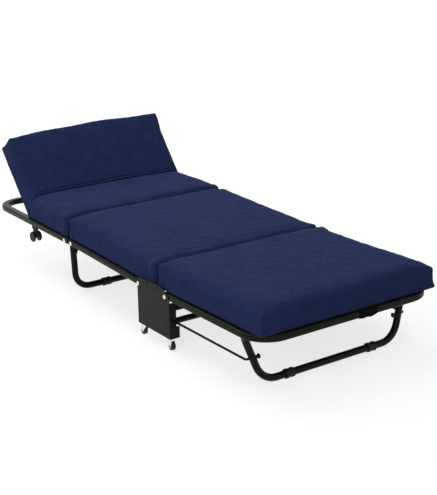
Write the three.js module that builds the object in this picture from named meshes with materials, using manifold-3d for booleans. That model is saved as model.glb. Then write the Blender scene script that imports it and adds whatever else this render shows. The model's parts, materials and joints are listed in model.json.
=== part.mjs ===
// Rollaway bed: three hinged steel sections under quilted mattress panels, folding up on a
// wheeled centre box. Y runs from the foot end to the head end, X across, Z up, in millimetres.
import * as THREE from "three";
import { mergeVertices } from "three/addons/utils/BufferGeometryUtils.js";
import Module from "manifold-3d";

const wasm = await Module();
wasm.setup();

// ---- Driving dimensions ----
const FRAME_L = 1900; // outer face of the foot bar to outer face of the head bar
const FRAME_W = 750; // over the two long rails
const RAIL_W = 30; // rail section, across
const RAIL_H = 23; // rail section, upright
const RAIL_R = 6; // rounding of the rail section
const CORNER_R = 102; // outside radius of the frame corners

const SEAT = 0.3; // gap between two pieces that touch
const PLAY = 0.3; // radial play of a bolt in its hole
const PIN_PLAY = 0.7; // radial play of the rod pins in their holes

const PIVOT_Z = 197; // height of the box pivots
const FOOT_PIVOT_Y = 530;
const MIDDLE_PIVOT_Y = 702;
const HINGE_Z = 211.5; // height of the head hinge bolts
const HINGE_Y = 1204; // bolt of the middle section in the head hinge
const HINGE_SPAN = 53; // from that bolt to the head section's bolt
const HINGE_GAP = 9; // open gap between the rail ends at the head hinge
const BACK_PIVOT_Y = 1600; // backrest pivots
const BACK_RAISE = 49.5; // degrees the backrest stands up
const FOOT_SLOPE = 0.45; // degrees the foot section rises towards the foot
const RAIL_STUB = 14; // rail past the box pivots

const PLATE_T = 2.5; // side plate sheet
const PLATE_FOOT_Y = 503;
const PLATE_HEAD_Y = 709;
const PLATE_BOTTOM_Z = 48;
const PLATE_TOP_Z = 226.5;
const PLATE_TOP_FALL = 4; // top edge lower at the head end
const PLATE_CORNER_Y = 23; // its rounded head corner, along
const PLATE_CORNER_Z = 32; // and upright
// Shoulder of the plate over the foot pivot, measured from that pivot along and up.
const SHOULDER = { top: 35, turn: 22, slope: [13, 25], low: [-4, 17], rim: 8 };
const FLANGE_IN = 27.5; // reach of the upright flanges from the web's outer face
const FLANGE_TOP_Z = 180;
const HEAD_FLANGE_TOP_Z = 172; // low enough for the middle rail's stub to swing past
const TAB_IN = 40.5; // reach of the lower tabs and the bottom flange
const TAB_TOP_Z = 91;

const SCREWS = [[646, 214], [581, 213]]; // small screws near the top of each plate
const SCREW_D = 9;
const SCREW_T = 2.5;

const CROSS_D = 22; // cross tubes of the box
const CROSS_Y = 575;
const CROSS_UPPER_Z = 128;
const CROSS_LOWER_Z = 79;

const BOLT_D = 8;
const BOLT_HEAD_D = 16;
const BOLT_HEAD_T = 4;
const NUT_D = 13;
const NUT_T = 4.7;

const LEG_D = 25; // leg tubes
const SLEEVE_D = 33; // plastic feet round the leg tubes
const SLEEVE_L = 34;
const SLEEVE_RIM = 9; // raised rim at each end of a sleeve
const SLEEVE_LIP = 1.2;
const LEG_TILT = 8.2; // degrees the foot leg leans to the foot at its lower end
const LEG_SPLAY = 18.87; // degrees its two legs lean inwards going down
const LEG_FLOOR_X = FRAME_W / 2 - 90.2; // where the leaning legs meet the floor bar
const LEG_BEND_R = 80;
const LEG_REACH = 396; // from the box pivot to the leg pivot along the rail
const LEG_TUBE_START = RAIL_H / 2 + 1.5; // round tube starts this far below the leg pivot
const FOOT_SLEEVE_X = LEG_FLOOR_X - 107.8;
const LUG_T = 6; // flattened top of the foot leg
const LUG_R = 11.4; // round the leg bolt
const LUG_END = 34; // lower end of the flattened part, below the leg pivot
const LUG_HEAD_T = 4.4;
const LEG_BOLT_IN = 20; // depth of the leg bolt in the rail

const LINK = 100; // leg pivot to rod pin, and box pivot to rod pin
const ROD_D = 8;
const ROD_X = FRAME_W / 2 - 35;
const ROD_BEND_R = 8;
const CAP_X = FRAME_W / 2 - 64 - LEG_D / 2; // outboard end of the rod cap, clear of the leg
const ROD_END_X = CAP_X - 4;
const CAP_L = 11;
const CAP_D = 18;
const CAP_NECK_D = 11;

const MID_LEG_X = FRAME_W / 2 - 28; // legs of the middle leg, at the floor
const MID_LEG_TOP_X = FRAME_W / 2 - 22; // and at the hinge brackets
const MID_BEND_R = 62;
const MID_SLEEVE_X = MID_LEG_X - 134;
const MID_LEG_TOP = RAIL_H / 2 + 1; // tube top below the hinge bolts
const BRACKET_T = 3; // hinge bracket plates of the middle leg
const BRACKET_R = 10.5;
const BRACKET_DROP = 50;

const SLAT_W = 30;
const SLAT_T = 3;
const SLAT_DROP = 0.2; // slat top below the rail top
const FOOT_SLATS = [115, 230, 345]; // from the box pivot
const MIDDLE_SLATS = [95, 250, 405];
const HEAD_SLATS = [80, 215]; // from the head hinge bolt

const PAD_T = 82; // mattress panels
const PAD_W = FRAME_W - 18;
const PAD_TOP_R = 22;
const PAD_LOW_R = 8;
const PAD_FOOT_Y = 22; // foot end face
const PAD_START = 50; // stiff part of a panel starts this far from the box pivot
const CREASE_Y = 605; // between the foot and middle panels
const HEAD_CREASE_Y = 1245; // between the middle and head panels
const PAD_GAP = 0.8; // between neighbouring panels
const HEAD_PAD_END_Y = 1525; // flat part of the head panel ends
const BACK_PAD_START = 60; // from the backrest pivot
const BACK_PAD_END = 346;
const BACK_PAD_T = 86;

const BACK_TUBE_D = 22;
const BACK_X = FRAME_W / 2 - 50;
const BACK_L = 249;
const BACK_BEND_R = 50;
const BACK_STUB = 11;
const BACK_BAR = 70; // welded bar from the backrest pivot
const BACK_BAR_D = 15;
const BARREL_D = 20; // ratchet barrels of the backrest

const STRAP_X = 65;
const STRAP_W = 75;
const STRAP_T = 1.8;

const CASTER_X = FRAME_W / 2 - 17;
const CASTER_TRAIL = 8;
const CASTER_SWIVELS = { foot: 531, head: 697 };
const CASTER_WHEEL_D = 32;
const CASTER_WHEEL_W = 13;
const CASTER_FORK_W = 19;
const CASTER_SLOT = 14.2;
const CASTER_DISC_D = 24;
const CASTER_AXLE_D = 5;
const CASTER_PIN_D = 6;
const CASTER_RIVET_D = 10;

const HEAD_CASTER_X = FRAME_W / 2 - 15;
const HEAD_CASTER_Y = 1540;
const HEAD_CASTER_DROP = 57.5; // axle below the rail centre
const HEAD_WHEEL_D = 42;
const HEAD_WHEEL_W = 10;
const HEAD_WHEEL_PITCH = 28;
const HEAD_STEM_W = 14;
const HEAD_STEM_TOP_D = 26;
const HEAD_PIN_UP = 12;

// ---- Fits that follow from them ----
const RAIL_X = (FRAME_W - RAIL_W) / 2; // rail centre line
const RAIL_IN = FRAME_W / 2 - RAIL_W; // rail inner face
const BEND_R = CORNER_R - RAIL_W / 2;
const WEB_IN = FRAME_W / 2 + SEAT;
const WEB_OUT = WEB_IN + PLATE_T;
const PAD_Z = RAIL_H / 2 + SEAT; // underside of a panel above the rail centre
const deg = THREE.MathUtils.degToRad;
const MIDDLE_L = Math.hypot(HINGE_Y - MIDDLE_PIVOT_Y, HINGE_Z - PIVOT_Z);
const MIDDLE_SLOPE = Math.atan2(HINGE_Z - PIVOT_Z, HINGE_Y - MIDDLE_PIVOT_Y);
const HEAD_BOLT_Y = HINGE_Y + HINGE_SPAN;
const HINGE_STUB = (HINGE_SPAN - HINGE_GAP) / 2;
const LEG_PIVOT_Z = PIVOT_Z + LEG_REACH * Math.sin(deg(FOOT_SLOPE));
const LEG_DROP = (LEG_PIVOT_Z - SLEEVE_D / 2) / Math.cos(deg(LEG_TILT));
const ROD_PIVOT_Y = FOOT_PIVOT_Y - LINK * Math.sin(deg(LEG_TILT));
const ROD_PIVOT_Z = PIVOT_Z - LINK * Math.cos(deg(LEG_TILT));
const CENTRE_Y = (FRAME_L - SEAT - STRAP_T) / 2;

const SIDES = { left: -1, right: 1 };

// ---- Finishes ----
const finish = (color, roughness, metalness) => ({ color, roughness, metalness });
const GLOSS_BLACK = finish(0x17181a, 0.28, 0.35);
const MATT_BLACK = finish(0x1a1a1b, 0.6, 0.05);
const ZINC = finish(0xb9bcc0, 0.3, 0.9);
const NAVY = finish(0x222c50, 0.85, 0);
const DARK_WEBBING = finish(0x14161c, 0.9, 0);
const GREY_RUBBER = finish(0x3a3b3d, 0.7, 0);

// ---- Geometry helpers ----
function solidOf(geometry) {
  const bare = geometry.clone();
  bare.deleteAttribute("normal");
  bare.deleteAttribute("uv");
  const welded = mergeVertices(bare, 1e-4);
  const mesh = new wasm.Mesh({
    numProp: 3,
    vertProperties: new Float32Array(welded.getAttribute("position").array),
    triVerts: new Uint32Array(welded.getIndex().array),
  });
  return new wasm.Manifold(mesh);
}

function geometryOf(solid) {
  const mesh = solid.getMesh();
  const geometry = new THREE.BufferGeometry();
  geometry.setAttribute("position", new THREE.BufferAttribute(mesh.vertProperties, 3));
  geometry.setIndex(new THREE.BufferAttribute(mesh.triVerts, 1));
  const faceted = geometry.toNonIndexed();
  faceted.computeVertexNormals();
  return faceted;
}

function fuse(...pieces) {
  return geometryOf(pieces.map(solidOf).reduce((whole, piece) => whole.add(piece)));
}

function cut(body, ...tools) {
  return geometryOf(tools.map(solidOf).reduce((whole, tool) => whole.subtract(tool), solidOf(body)));
}

// A centre line of straight stretches joined by circular bends; one sweep step per straight.
class BentPath extends THREE.Curve {
  constructor(corners, bendRadius, bendSteps) {
    super();
    const points = corners.map((c) => new THREE.Vector3(...c));
    const last = points.length - 1;
    this.stations = [];
    for (let i = 0; i <= last; i += 1) {
      const along = points[Math.min(i + 1, last)].clone().sub(points[Math.min(i, last - 1)]).normalize();
      if (i === 0 || i === last) {
        this.stations.push({ point: points[i], tangent: along });
        continue;
      }
      const before = points[i].clone().sub(points[i - 1]).normalize();
      this.addBend(points[i], before, along, bendRadius, bendSteps);
    }
  }

  addBend(corner, before, after, radius, steps) {
    const turn = before.angleTo(after);
    const reach = radius * Math.tan(turn / 2);
    const axis = before.clone().cross(after).normalize();
    const start = corner.clone().addScaledVector(before, -reach);
    const centre = start.clone().addScaledVector(axis.clone().cross(before), radius);
    for (let k = 0; k <= steps; k += 1) {
      const angle = (turn * k) / steps;
      this.stations.push({
        point: start.clone().sub(centre).applyAxisAngle(axis, angle).add(centre),
        tangent: before.clone().applyAxisAngle(axis, angle),
      });
    }
  }

  get steps() {
    return this.stations.length - 1;
  }

  station(u) {
    return this.stations[Math.round(u * this.steps)];
  }

  getPoint(t, target = new THREE.Vector3()) {
    return target.copy(this.station(t).point);
  }

  getPointAt(u, target = new THREE.Vector3()) {
    return target.copy(this.station(u).point);
  }

  getTangentAt(u, target = new THREE.Vector3()) {
    return target.copy(this.station(u).tangent);
  }
}

function sweep(shape, path) {
  return new THREE.ExtrudeGeometry(shape, { steps: path.steps, extrudePath: path, curveSegments: 3 });
}

function disc(radius, sides) {
  const points = [];
  for (let k = 0; k < sides; k += 1) {
    const a = (2 * Math.PI * k) / sides;
    points.push(new THREE.Vector2(radius * Math.cos(a), radius * Math.sin(a)));
  }
  return new THREE.Shape(points);
}

// Rectangle with its low corners rounded by one radius and its high corners by another.
function roundedRect(x0, x1, y0, y1, lowR, highR = lowR) {
  const shape = new THREE.Shape();
  shape.moveTo(x0 + lowR, y0);
  shape.lineTo(x1 - lowR, y0);
  shape.absarc(x1 - lowR, y0 + lowR, lowR, -Math.PI / 2, 0);
  shape.lineTo(x1, y1 - highR);
  shape.absarc(x1 - highR, y1 - highR, highR, 0, Math.PI / 2);
  shape.lineTo(x0 + highR, y1);
  shape.absarc(x0 + highR, y1 - highR, highR, Math.PI / 2, Math.PI);
  shape.lineTo(x0, y0 + lowR);
  shape.absarc(x0 + lowR, y0 + lowR, lowR, Math.PI, 1.5 * Math.PI);
  return shape;
}

function outline(points) {
  return new THREE.Shape(points.map(([x, y]) => new THREE.Vector2(x, y)));
}

const tube = (corners, diameter, bendRadius, sides = 16, bendSteps = 7) =>
  sweep(disc(diameter / 2, sides), new BentPath(corners, bendRadius, bendSteps));

// Shape drawn in Y,Z, made into a plate from x0 to x1.
function plateX(shape, x0, x1, curveSegments = 8) {
  const plate = new THREE.ExtrudeGeometry(shape, { depth: x1 - x0, bevelEnabled: false, curveSegments });
  plate.rotateX(Math.PI / 2);
  plate.rotateZ(Math.PI / 2);
  return plate.translate(x0, 0, 0);
}

// Shape drawn in X,Z, drawn out from y0 to y1.
function barY(shape, y0, y1, curveSegments = 5) {
  const bar = new THREE.ExtrudeGeometry(shape, { depth: y1 - y0, bevelEnabled: false, curveSegments });
  bar.rotateX(Math.PI / 2);
  return bar.translate(0, y1, 0);
}

function box(x0, x1, y0, y1, z0, z1) {
  const block = new THREE.BoxGeometry(Math.abs(x1 - x0), Math.abs(y1 - y0), Math.abs(z1 - z0));
  return block.translate((x0 + x1) / 2, (y0 + y1) / 2, (z0 + z1) / 2);
}

// Cylinder along X between two X values, centred on y, z.
function pinX(diameter, x0, x1, y = 0, z = 0, sides = 16) {
  const pin = new THREE.CylinderGeometry(diameter / 2, diameter / 2, Math.abs(x1 - x0), sides);
  return pin.rotateZ(Math.PI / 2).translate((x0 + x1) / 2, y, z);
}

// Cylinder along Z between two heights, centred on x, y.
function pinZ(diameter, z0, z1, x = 0, y = 0, sides = 16) {
  const pin = new THREE.CylinderGeometry(diameter / 2, diameter / 2, z1 - z0, sides);
  return pin.rotateX(Math.PI / 2).translate(x, y, (z0 + z1) / 2);
}

// Turned piece: profile of [radius, distance]; its distance axis becomes X, outwards on one side.
function turnedX(profile, side, segments = 16) {
  const turned = new THREE.LatheGeometry(profile.map(([r, d]) => new THREE.Vector2(r, d)), segments);
  return turned.rotateZ(-side * Math.PI / 2);
}

const used = new Set();
function piece(parent, name, geometry, look) {
  if (used.has(name)) throw new Error(`${name} is used twice`);
  used.add(name);
  const mesh = new THREE.Mesh(geometry, new THREE.MeshStandardMaterial(look));
  mesh.name = name;
  parent.add(mesh);
  return mesh;
}

function section(parent, name, y, z, turn) {
  const group = new THREE.Group();
  group.name = name;
  group.position.set(0, y, z);
  group.rotation.x = turn;
  parent.add(group);
  return group;
}

const railShape = () => roundedRect(-RAIL_H / 2, RAIL_H / 2, -RAIL_W / 2, RAIL_W / 2, RAIL_R);
const boltHole = (side, y, z = 0) =>
  pinX(BOLT_D + 2 * PLAY, side * (RAIL_IN - RAIL_W), side * (FRAME_W / 2 + RAIL_W), y, z);

// Bolt and nut across a rail: domed head outside `out`, nut inside `inner`.
function railBolt(side, out, inner) {
  const head = out + SEAT;
  const nut = inner - SEAT;
  const dome = BOLT_HEAD_T * 0.45;
  const profile = [
    [0, nut - NUT_T],
    [NUT_D / 2, nut - NUT_T],
    [NUT_D / 2, nut],
    [BOLT_D / 2, nut],
    [BOLT_D / 2, head],
    [BOLT_HEAD_D / 2, head],
    [BOLT_HEAD_D / 2, head + dome],
    [BOLT_HEAD_D / 2.7, head + BOLT_HEAD_T * 0.85],
    [0, head + BOLT_HEAD_T],
  ];
  return turnedX(profile, side);
}

// U-frame from its open end at `start` to the outer face of its end bar at `end` (signed Y).
function railU(start, end) {
  const bar = end - Math.sign(end) * (RAIL_W / 2);
  const corners = [
    [-RAIL_X, start, 0],
    [-RAIL_X, bar, 0],
    [RAIL_X, bar, 0],
    [RAIL_X, start, 0],
  ];
  return sweep(railShape(), new BentPath(corners, BEND_R, 8));
}

function straightRail(side, start, end) {
  const path = new BentPath([[side * RAIL_X, start, 0], [side * RAIL_X, end, 0]], 0, 1);
  return sweep(railShape(), path);
}

function addSlats(parent, name, places, direction) {
  const top = RAIL_H / 2 - SLAT_DROP;
  places.forEach((place, k) => {
    const y = direction * place;
    const slat = box(SEAT - RAIL_IN, RAIL_IN - SEAT, y - SLAT_W / 2, y + SLAT_W / 2, top - SLAT_T, top);
    piece(parent, `${name}_${k + 1}`, slat, GLOSS_BLACK);
  });
}

function pad(y0, y1, z0 = PAD_Z, thickness = PAD_T) {
  const shape = roundedRect(-PAD_W / 2, PAD_W / 2, z0, z0 + thickness, PAD_LOW_R, PAD_TOP_R);
  return barY(shape, y0, y1);
}

function sleeve(x, y, z) {
  const bore = LEG_D / 2 + SEAT;
  const outer = SLEEVE_D / 2;
  const half = SLEEVE_L / 2;
  const lip = SLEEVE_LIP;
  const rim = [
    [bore, -half],
    [outer - lip, -half],
    [outer, lip - half],
    [outer, SLEEVE_RIM - half],
    [outer - lip, SLEEVE_RIM + lip - half],
  ];
  const mirrored = rim.map(([r, x]) => [r, -x]).reverse();
  const profile = [...rim, ...mirrored, rim[0]];
  return turnedX(profile, 1, 24).translate(x, y, z);
}

const bed = new THREE.Group();
bed.name = "rollaway_bed";
bed.position.y = -CENTRE_Y;

// ---- Centre box: two side plates, cross tubes, pivot bolts ----
function sidePlate(side) {
  const web = new THREE.Shape();
  web.moveTo(PLATE_FOOT_Y, PLATE_BOTTOM_Z);
  web.lineTo(PLATE_HEAD_Y, PLATE_BOTTOM_Z);
  web.lineTo(PLATE_HEAD_Y, PLATE_TOP_Z - PLATE_CORNER_Z);
  const headTopZ = PLATE_TOP_Z - PLATE_TOP_FALL;
  web.quadraticCurveTo(PLATE_HEAD_Y - 2, headTopZ, PLATE_HEAD_Y - PLATE_CORNER_Y, headTopZ);
  const [slopeY, slopeZ] = SHOULDER.slope;
  const [lowY, lowZ] = SHOULDER.low;
  web.lineTo(FOOT_PIVOT_Y + SHOULDER.top, PLATE_TOP_Z);
  web.quadraticCurveTo(FOOT_PIVOT_Y + SHOULDER.turn, PLATE_TOP_Z, FOOT_PIVOT_Y + slopeY, PIVOT_Z + slopeZ);
  web.lineTo(FOOT_PIVOT_Y + lowY, PIVOT_Z + lowZ);
  web.quadraticCurveTo(PLATE_FOOT_Y, PIVOT_Z + SHOULDER.rim, PLATE_FOOT_Y, FLANGE_TOP_Z + PLATE_T);
  const out = side * WEB_OUT;
  const into = side * (WEB_IN + PLATE_T / 2);
  const flangeX = side * (WEB_OUT - FLANGE_IN);
  const tabX = side * (WEB_OUT - TAB_IN);
  const pieces = [plateX(web, Math.min(side * WEB_IN, out), Math.max(side * WEB_IN, out))];
  for (const [y, top] of [[PLATE_FOOT_Y, FLANGE_TOP_Z], [PLATE_HEAD_Y - PLATE_T, HEAD_FLANGE_TOP_Z]]) {
    pieces.push(box(into, flangeX, y, y + PLATE_T, TAB_TOP_Z - PLATE_T, top));
    pieces.push(box(into, tabX, y, y + PLATE_T, PLATE_BOTTOM_Z, TAB_TOP_Z));
  }
  pieces.push(box(into, tabX, PLATE_FOOT_Y, PLATE_HEAD_Y, PLATE_BOTTOM_Z, PLATE_BOTTOM_Z + PLATE_T));
  for (const [y, z] of SCREWS) pieces.push(pinX(SCREW_D, into, side * (WEB_OUT + SCREW_T), y, z));
  const holes = [
    boltHole(side, FOOT_PIVOT_Y, PIVOT_Z),
    boltHole(side, MIDDLE_PIVOT_Y, PIVOT_Z),
    pinX(ROD_D + 2 * PIN_PLAY, side * RAIL_IN, side * (WEB_OUT + 1), ROD_PIVOT_Y, ROD_PIVOT_Z),
  ];
  for (const y of Object.values(CASTER_SWIVELS)) {
    const hole = CASTER_PIN_D + 2 * PLAY;
    holes.push(pinZ(hole, PLATE_BOTTOM_Z - 1, PLATE_BOTTOM_Z + PLATE_T + 1, side * CASTER_X, y));
  }
  return cut(fuse(...pieces), ...holes);
}

const root = new THREE.Group();
root.name = "centre_box";
bed.add(root);

for (const [hand, side] of Object.entries(SIDES)) {
  piece(root, `side_plate_${hand}`, sidePlate(side), GLOSS_BLACK);
  for (const [name, y] of [["foot", FOOT_PIVOT_Y], ["middle", MIDDLE_PIVOT_Y]]) {
    const bolt = railBolt(side, WEB_OUT, RAIL_IN).translate(0, y, PIVOT_Z);
    piece(root, `${name}_pivot_bolt_${hand}`, bolt, ZINC);
  }
}
for (const [name, z] of [["upper", CROSS_UPPER_Z], ["lower", CROSS_LOWER_Z]]) {
  const bar = pinX(CROSS_D, SEAT - WEB_IN, WEB_IN - SEAT, CROSS_Y, z);
  piece(root, `${name}_cross_tube`, bar, GLOSS_BLACK);
}

// Bending parts of the two panels that rest over the box.
const footFoldZ = PIVOT_Z + PAD_START * Math.tan(deg(FOOT_SLOPE)) + PAD_Z;
const middleFoldZ = PIVOT_Z + PAD_START * Math.tan(MIDDLE_SLOPE) + PAD_Z;
const padTop = PAD_Z + PAD_T;
const footFoldY = FOOT_PIVOT_Y - PAD_START + padTop * Math.sin(deg(FOOT_SLOPE)) + PAD_GAP;
const middleFoldY = MIDDLE_PIVOT_Y + PAD_START - padTop * Math.sin(MIDDLE_SLOPE) - PAD_GAP;
const footFold = pad(footFoldY, CREASE_Y - PAD_GAP / 2, footFoldZ);
const middleFold = pad(CREASE_Y + PAD_GAP / 2, middleFoldY, middleFoldZ);
piece(root, "foot_mattress_fold", footFold, NAVY);
piece(root, "middle_mattress_fold", middleFold, NAVY);

// ---- Casters of the box ----
function casterFork() {
  const top = PLATE_BOTTOM_Z - SEAT;
  const axle = CASTER_WHEEL_D / 2;
  const hood = new THREE.Shape();
  hood.moveTo(-CASTER_DISC_D / 2, top - 4);
  hood.lineTo(-CASTER_TRAIL - 8, axle + 12);
  hood.lineTo(-CASTER_TRAIL - 6, axle - 2);
  hood.absarc(-CASTER_TRAIL, axle, 6.3, 1.1 * Math.PI, 1.75 * Math.PI);
  hood.lineTo(CASTER_DISC_D / 2, axle + 14);
  hood.lineTo(CASTER_DISC_D / 2, top - 4);
  const plateEnd = top + SEAT + PLATE_T + SEAT;
  const body = fuse(
    plateX(hood, -CASTER_FORK_W / 2, CASTER_FORK_W / 2, 6),
    pinZ(CASTER_DISC_D, top - 4.5, top),
    pinZ(CASTER_PIN_D, top - 2, plateEnd + 1),
    pinZ(CASTER_RIVET_D, plateEnd, plateEnd + 2),
  );
  const room = CASTER_SLOT / 2;
  const roof = CASTER_WHEEL_D + 2;
  const slot = box(-room, room, -CASTER_WHEEL_D, CASTER_WHEEL_D, -1, roof);
  const hole = pinX(CASTER_AXLE_D + 2 * PLAY, -CASTER_FORK_W, CASTER_FORK_W, -CASTER_TRAIL, axle);
  return cut(body, slot, hole);
}

function casterWheel() {
  const r = CASTER_WHEEL_D / 2;
  const w = CASTER_WHEEL_W / 2;
  const axle = CASTER_AXLE_D / 2;
  const end = CASTER_FORK_W / 2 + 0.5;
  const profile = [
    [0, -end],
    [axle, -end],
    [axle, -w],
    [r - 1.5, -w],
    [r, 1.5 - w],
    [r, w - 1.5],
    [r - 1.5, w],
    [axle, w],
    [axle, end],
    [0, end],
  ];
  return turnedX(profile, 1, 24);
}

for (const [hand, side] of Object.entries(SIDES)) {
  for (const [place, y] of Object.entries(CASTER_SWIVELS)) {
    const caster = section(root, `caster_${place}_${hand}`, y, 0, 0);
    caster.position.x = side * CASTER_X;
    if (place === "head") caster.rotation.z = Math.PI; // trails to the head
    piece(caster, `caster_fork_${place}_${hand}`, casterFork(), ZINC);
    const wheel = piece(caster, `caster_wheel_${place}_${hand}`, casterWheel(), GREY_RUBBER);
    wheel.position.set(0, -CASTER_TRAIL, CASTER_WHEEL_D / 2);
  }
}

// ---- Foot section ----
const foot = section(bed, "foot_section", FOOT_PIVOT_Y, PIVOT_Z, deg(-FOOT_SLOPE));
const footBolts = Object.values(SIDES).map((side) => boltHole(side, 0));
const legBoltHoles = Object.values(SIDES).map((side) =>
  pinX(BOLT_D + 2 * PLAY, side * (RAIL_IN - 1), side * (RAIL_IN + LEG_BOLT_IN + 1), -LEG_REACH),
);
piece(foot, "foot_frame", cut(railU(RAIL_STUB, -FOOT_PIVOT_Y), ...footBolts, ...legBoltHoles), GLOSS_BLACK);
addSlats(foot, "foot_slat", FOOT_SLATS, -1);

const barY0 = -FOOT_PIVOT_Y;
const strapLow = RAIL_H / 2 + SEAT;
const strapOuter = roundedRect(
  barY0 - SEAT - STRAP_T,
  barY0 + RAIL_W + SEAT + STRAP_T,
  -strapLow - STRAP_T,
  strapLow + STRAP_T,
  RAIL_R + STRAP_T,
);
strapOuter.holes.push(
  roundedRect(barY0 - SEAT, barY0 + RAIL_W + SEAT, -strapLow, strapLow, RAIL_R),
);
const strapX = [STRAP_X - STRAP_W / 2, STRAP_X + STRAP_W / 2];
piece(foot, "mattress_strap", plateX(strapOuter, ...strapX, 5), DARK_WEBBING);
const strapRoom = box(
  strapX[0] - 1,
  strapX[1] + 1,
  barY0 - RAIL_R,
  barY0 + RAIL_W + RAIL_R,
  0,
  strapLow + STRAP_T + SEAT,
);
const footPad = pad(PAD_FOOT_Y - FOOT_PIVOT_Y, -PAD_START);
piece(foot, "foot_mattress", cut(footPad, strapRoom), NAVY);

// ---- Foot leg: leaning U with flattened, drilled tops ----
const leg = section(foot, "foot_leg_body", -LEG_REACH, 0, deg(FOOT_SLOPE - LEG_TILT));
function footLeg() {
  const lean = Math.tan(deg(LEG_SPLAY));
  const topX = LEG_FLOOR_X + lean * (LEG_DROP - LEG_TUBE_START);
  const corners = [
    [-topX, 0, -LEG_TUBE_START],
    [-LEG_FLOOR_X, 0, -LEG_DROP],
    [LEG_FLOOR_X, 0, -LEG_DROP],
    [topX, 0, -LEG_TUBE_START],
  ];
  const lug = new THREE.Shape();
  lug.absarc(0, 0, LUG_R, -0.1, Math.PI + 0.1);
  lug.lineTo(-LEG_D / 2, -LUG_END + 8);
  lug.lineTo(-LEG_D / 4, -LUG_END);
  lug.lineTo(LEG_D / 4, -LUG_END);
  lug.lineTo(LEG_D / 2, -LUG_END + 8);
  const face = RAIL_IN - SEAT;
  const pieces = [tube(corners, LEG_D, LEG_BEND_R)];
  const tools = [];
  for (const side of Object.values(SIDES)) {
    const [lugLow, lugHigh] = [side * face, side * (face - LUG_T)].sort((a, b) => a - b);
    pieces.push(plateX(lug, lugLow, lugHigh, 8));
    tools.push(box(side * face, side * (face + LEG_D), -LEG_D, LEG_D, -LEG_DROP / 2, 0));
    tools.push(pinX(BOLT_D + 2 * PLAY, side * (face - LUG_T - 1), side * (face + 1)));
    tools.push(pinX(ROD_D + 2 * PIN_PLAY, side * (CAP_X - 2), side * ROD_X, 0, -LINK));
  }
  return cut(fuse(...pieces), ...tools);
}
piece(leg, "foot_leg", footLeg(), GLOSS_BLACK);
for (const [hand, side] of Object.entries(SIDES)) {
  piece(leg, `foot_leg_sleeve_${hand}`, sleeve(side * FOOT_SLEEVE_X, 0, -LEG_DROP), MATT_BLACK);
  const inner = RAIL_IN - SEAT - LUG_T - SEAT;
  const profile = [
    [0, inner - LUG_HEAD_T],
    [5, inner - LUG_HEAD_T],
    [7, inner - 1.5],
    [7, inner],
    [BOLT_D / 2, inner],
    [BOLT_D / 2, RAIL_IN + LEG_BOLT_IN],
    [0, RAIL_IN + LEG_BOLT_IN],
  ];
  const bolt = turnedX(profile, side).translate(0, -LEG_REACH, 0);
  piece(foot, `foot_leg_bolt_${hand}`, bolt, ZINC);
}

// ---- Rods that keep the foot leg square to the floor ----
const rods = section(bed, "foot_rods", ROD_PIVOT_Y, ROD_PIVOT_Z, deg(-FOOT_SLOPE));
for (const [hand, side] of Object.entries(SIDES)) {
  const corners = [
    [side * (WEB_OUT - 0.5), 0, 0],
    [side * ROD_X, 0, 0],
    [side * ROD_X, -LEG_REACH, 0],
    [side * ROD_END_X, -LEG_REACH, 0],
  ];
  piece(rods, `foot_rod_${hand}`, tube(corners, ROD_D, ROD_BEND_R, 12, 4), MATT_BLACK);
  const bore = ROD_D / 2 + PLAY;
  const end = CAP_X - CAP_L;
  const profile = [
    [0, end],
    [CAP_D / 2 - 1, end],
    [CAP_D / 2, end + 1],
    [CAP_D / 2, end + 2.5],
    [CAP_NECK_D / 2, CAP_X - 2],
    [CAP_NECK_D / 2, CAP_X],
    [bore, CAP_X],
    [bore, ROD_END_X - SEAT],
    [0, ROD_END_X - SEAT],
  ];
  piece(rods, `rod_cap_${hand}`, turnedX(profile, side).translate(0, -LEG_REACH, 0), MATT_BLACK);
}

// ---- Middle section ----
const middle = section(bed, "middle_section", MIDDLE_PIVOT_Y, PIVOT_Z, MIDDLE_SLOPE);
for (const [hand, side] of Object.entries(SIDES)) {
  const rail = straightRail(side, -RAIL_STUB, MIDDLE_L + HINGE_STUB);
  piece(middle, `middle_rail_${hand}`, cut(rail, boltHole(side, 0), boltHole(side, MIDDLE_L)), GLOSS_BLACK);
}
addSlats(middle, "middle_slat", MIDDLE_SLATS, 1);
const middlePadEnd = HEAD_CREASE_Y - PAD_GAP - MIDDLE_PIVOT_Y;
piece(middle, "middle_mattress", pad(PAD_START, middlePadEnd), NAVY);

// ---- Middle leg: plumb U welded to the two head hinge brackets ----
const midLeg = section(bed, "middle_leg_body", HINGE_Y + HINGE_SPAN / 2, HINGE_Z, 0);
const midDrop = HINGE_Z - SLEEVE_D / 2;
function middleLeg() {
  const corners = [
    [-MID_LEG_TOP_X, 0, -MID_LEG_TOP],
    [-MID_LEG_X, 0, -midDrop],
    [MID_LEG_X, 0, -midDrop],
    [MID_LEG_TOP_X, 0, -MID_LEG_TOP],
  ];
  const half = HINGE_SPAN / 2;
  const bracket = new THREE.Shape();
  bracket.absarc(half, 0, BRACKET_R, -Math.PI / 4, Math.PI / 2);
  bracket.absarc(-half, 0, BRACKET_R, Math.PI / 2, 1.25 * Math.PI);
  bracket.lineTo(-LEG_D / 2 + 1, -BRACKET_DROP);
  bracket.lineTo(LEG_D / 2 - 1, -BRACKET_DROP);
  const face = RAIL_IN - SEAT;
  const pieces = [tube(corners, LEG_D, MID_BEND_R)];
  const holes = [];
  for (const side of Object.values(SIDES)) {
    const [low, high] = [side * face, side * (face - BRACKET_T)].sort((a, b) => a - b);
    pieces.push(plateX(bracket, low, high, 8));
    for (const y of [-half, half]) holes.push(boltHole(side, y));
  }
  return cut(fuse(...pieces), ...holes);
}
piece(midLeg, "middle_leg", middleLeg(), GLOSS_BLACK);
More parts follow.
